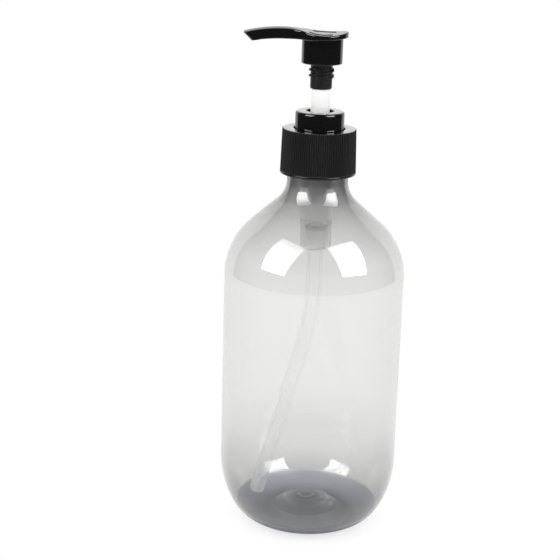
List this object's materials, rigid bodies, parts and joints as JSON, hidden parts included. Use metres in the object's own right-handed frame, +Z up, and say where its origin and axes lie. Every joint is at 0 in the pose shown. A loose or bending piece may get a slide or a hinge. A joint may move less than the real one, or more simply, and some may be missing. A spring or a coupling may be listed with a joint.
{
  "type": "soap pump dispenser",
  "caption": "Round clear bottle with a ribbed screw closure and a lotion pump: arched spout, swivelling press head on a return spring, ball inlet valve and bent dip tube.",
  "frame": {"origin": "centre of the ring that the bottle stands on", "axes": "+Z up along the bottle, spout towards -X"},
  "size_m": [0.074, 0.074, 0.208],
  "materials": {
    "clear_bottle": "clear, faintly grey, glossy blown plastic",
    "black_satin": "satin black moulding",
    "black_gloss": "polished black moulding",
    "white_plastic": "smooth white moulding",
    "natural_plastic": "translucent natural plastic",
    "liner_foam": "soft white sealing liner",
    "steel": "plain stainless steel"
  },
  "bodies": {
    "bottle": {"bottle": "clear_bottle"},
    "pump_base": {"housing": "natural_plastic", "lock_ring": "black_gloss", "gasket": "liner_foam", "dip_tube": "natural_plastic", "spring": "steel"},
    "closure": {"closure": "black_satin"},
    "plunger": {"piston_rod": "white_plastic"},
    "head": {"head": "black_gloss", "stem": "white_plastic"},
    "piston": {"piston": "white_plastic"},
    "inlet_ball": {"inlet_ball": "steel"}
  },
  "joints": [
    {"name": "pump_lift", "type": "slide", "parent": "bottle", "child": "pump_base", "axis": [0, 0, 1], "range_m": [0, 0.00634]},
    {"name": "closure_unscrew", "type": "hinge", "parent": "pump_base", "child": "closure", "pos_m": [0, 0, 0.16], "axis": [0, 0, 1], "range_deg": [0, 540]},
    {"name": "pump_stroke", "type": "slide", "parent": "pump_base", "child": "plunger", "axis": [0, 0, -1], "range_m": [0, 0.0186], "stiffness_N_per_m": 300, "springref_m": -0.006, "deforming": ["spring"]},
    {"name": "head_swivel", "type": "hinge", "parent": "plunger", "child": "head", "pos_m": [0, 0, 0.19], "axis": [0, 0, 1], "continuous": true},
    {"name": "piston_slip", "type": "slide", "parent": "plunger", "child": "piston", "axis": [0, 0, 1], "range_m": [0, 0.0012]},
    {"name": "inlet_ball_lift", "type": "slide", "parent": "pump_base", "child": "inlet_ball", "axis": [0, 0, 1], "range_m": [0, 0.0014]}
  ],
  "couplings": [
    {"joint": "closure_unscrew", "follows": "pump_lift", "rad_per_m": 1485.4}
  ]
}
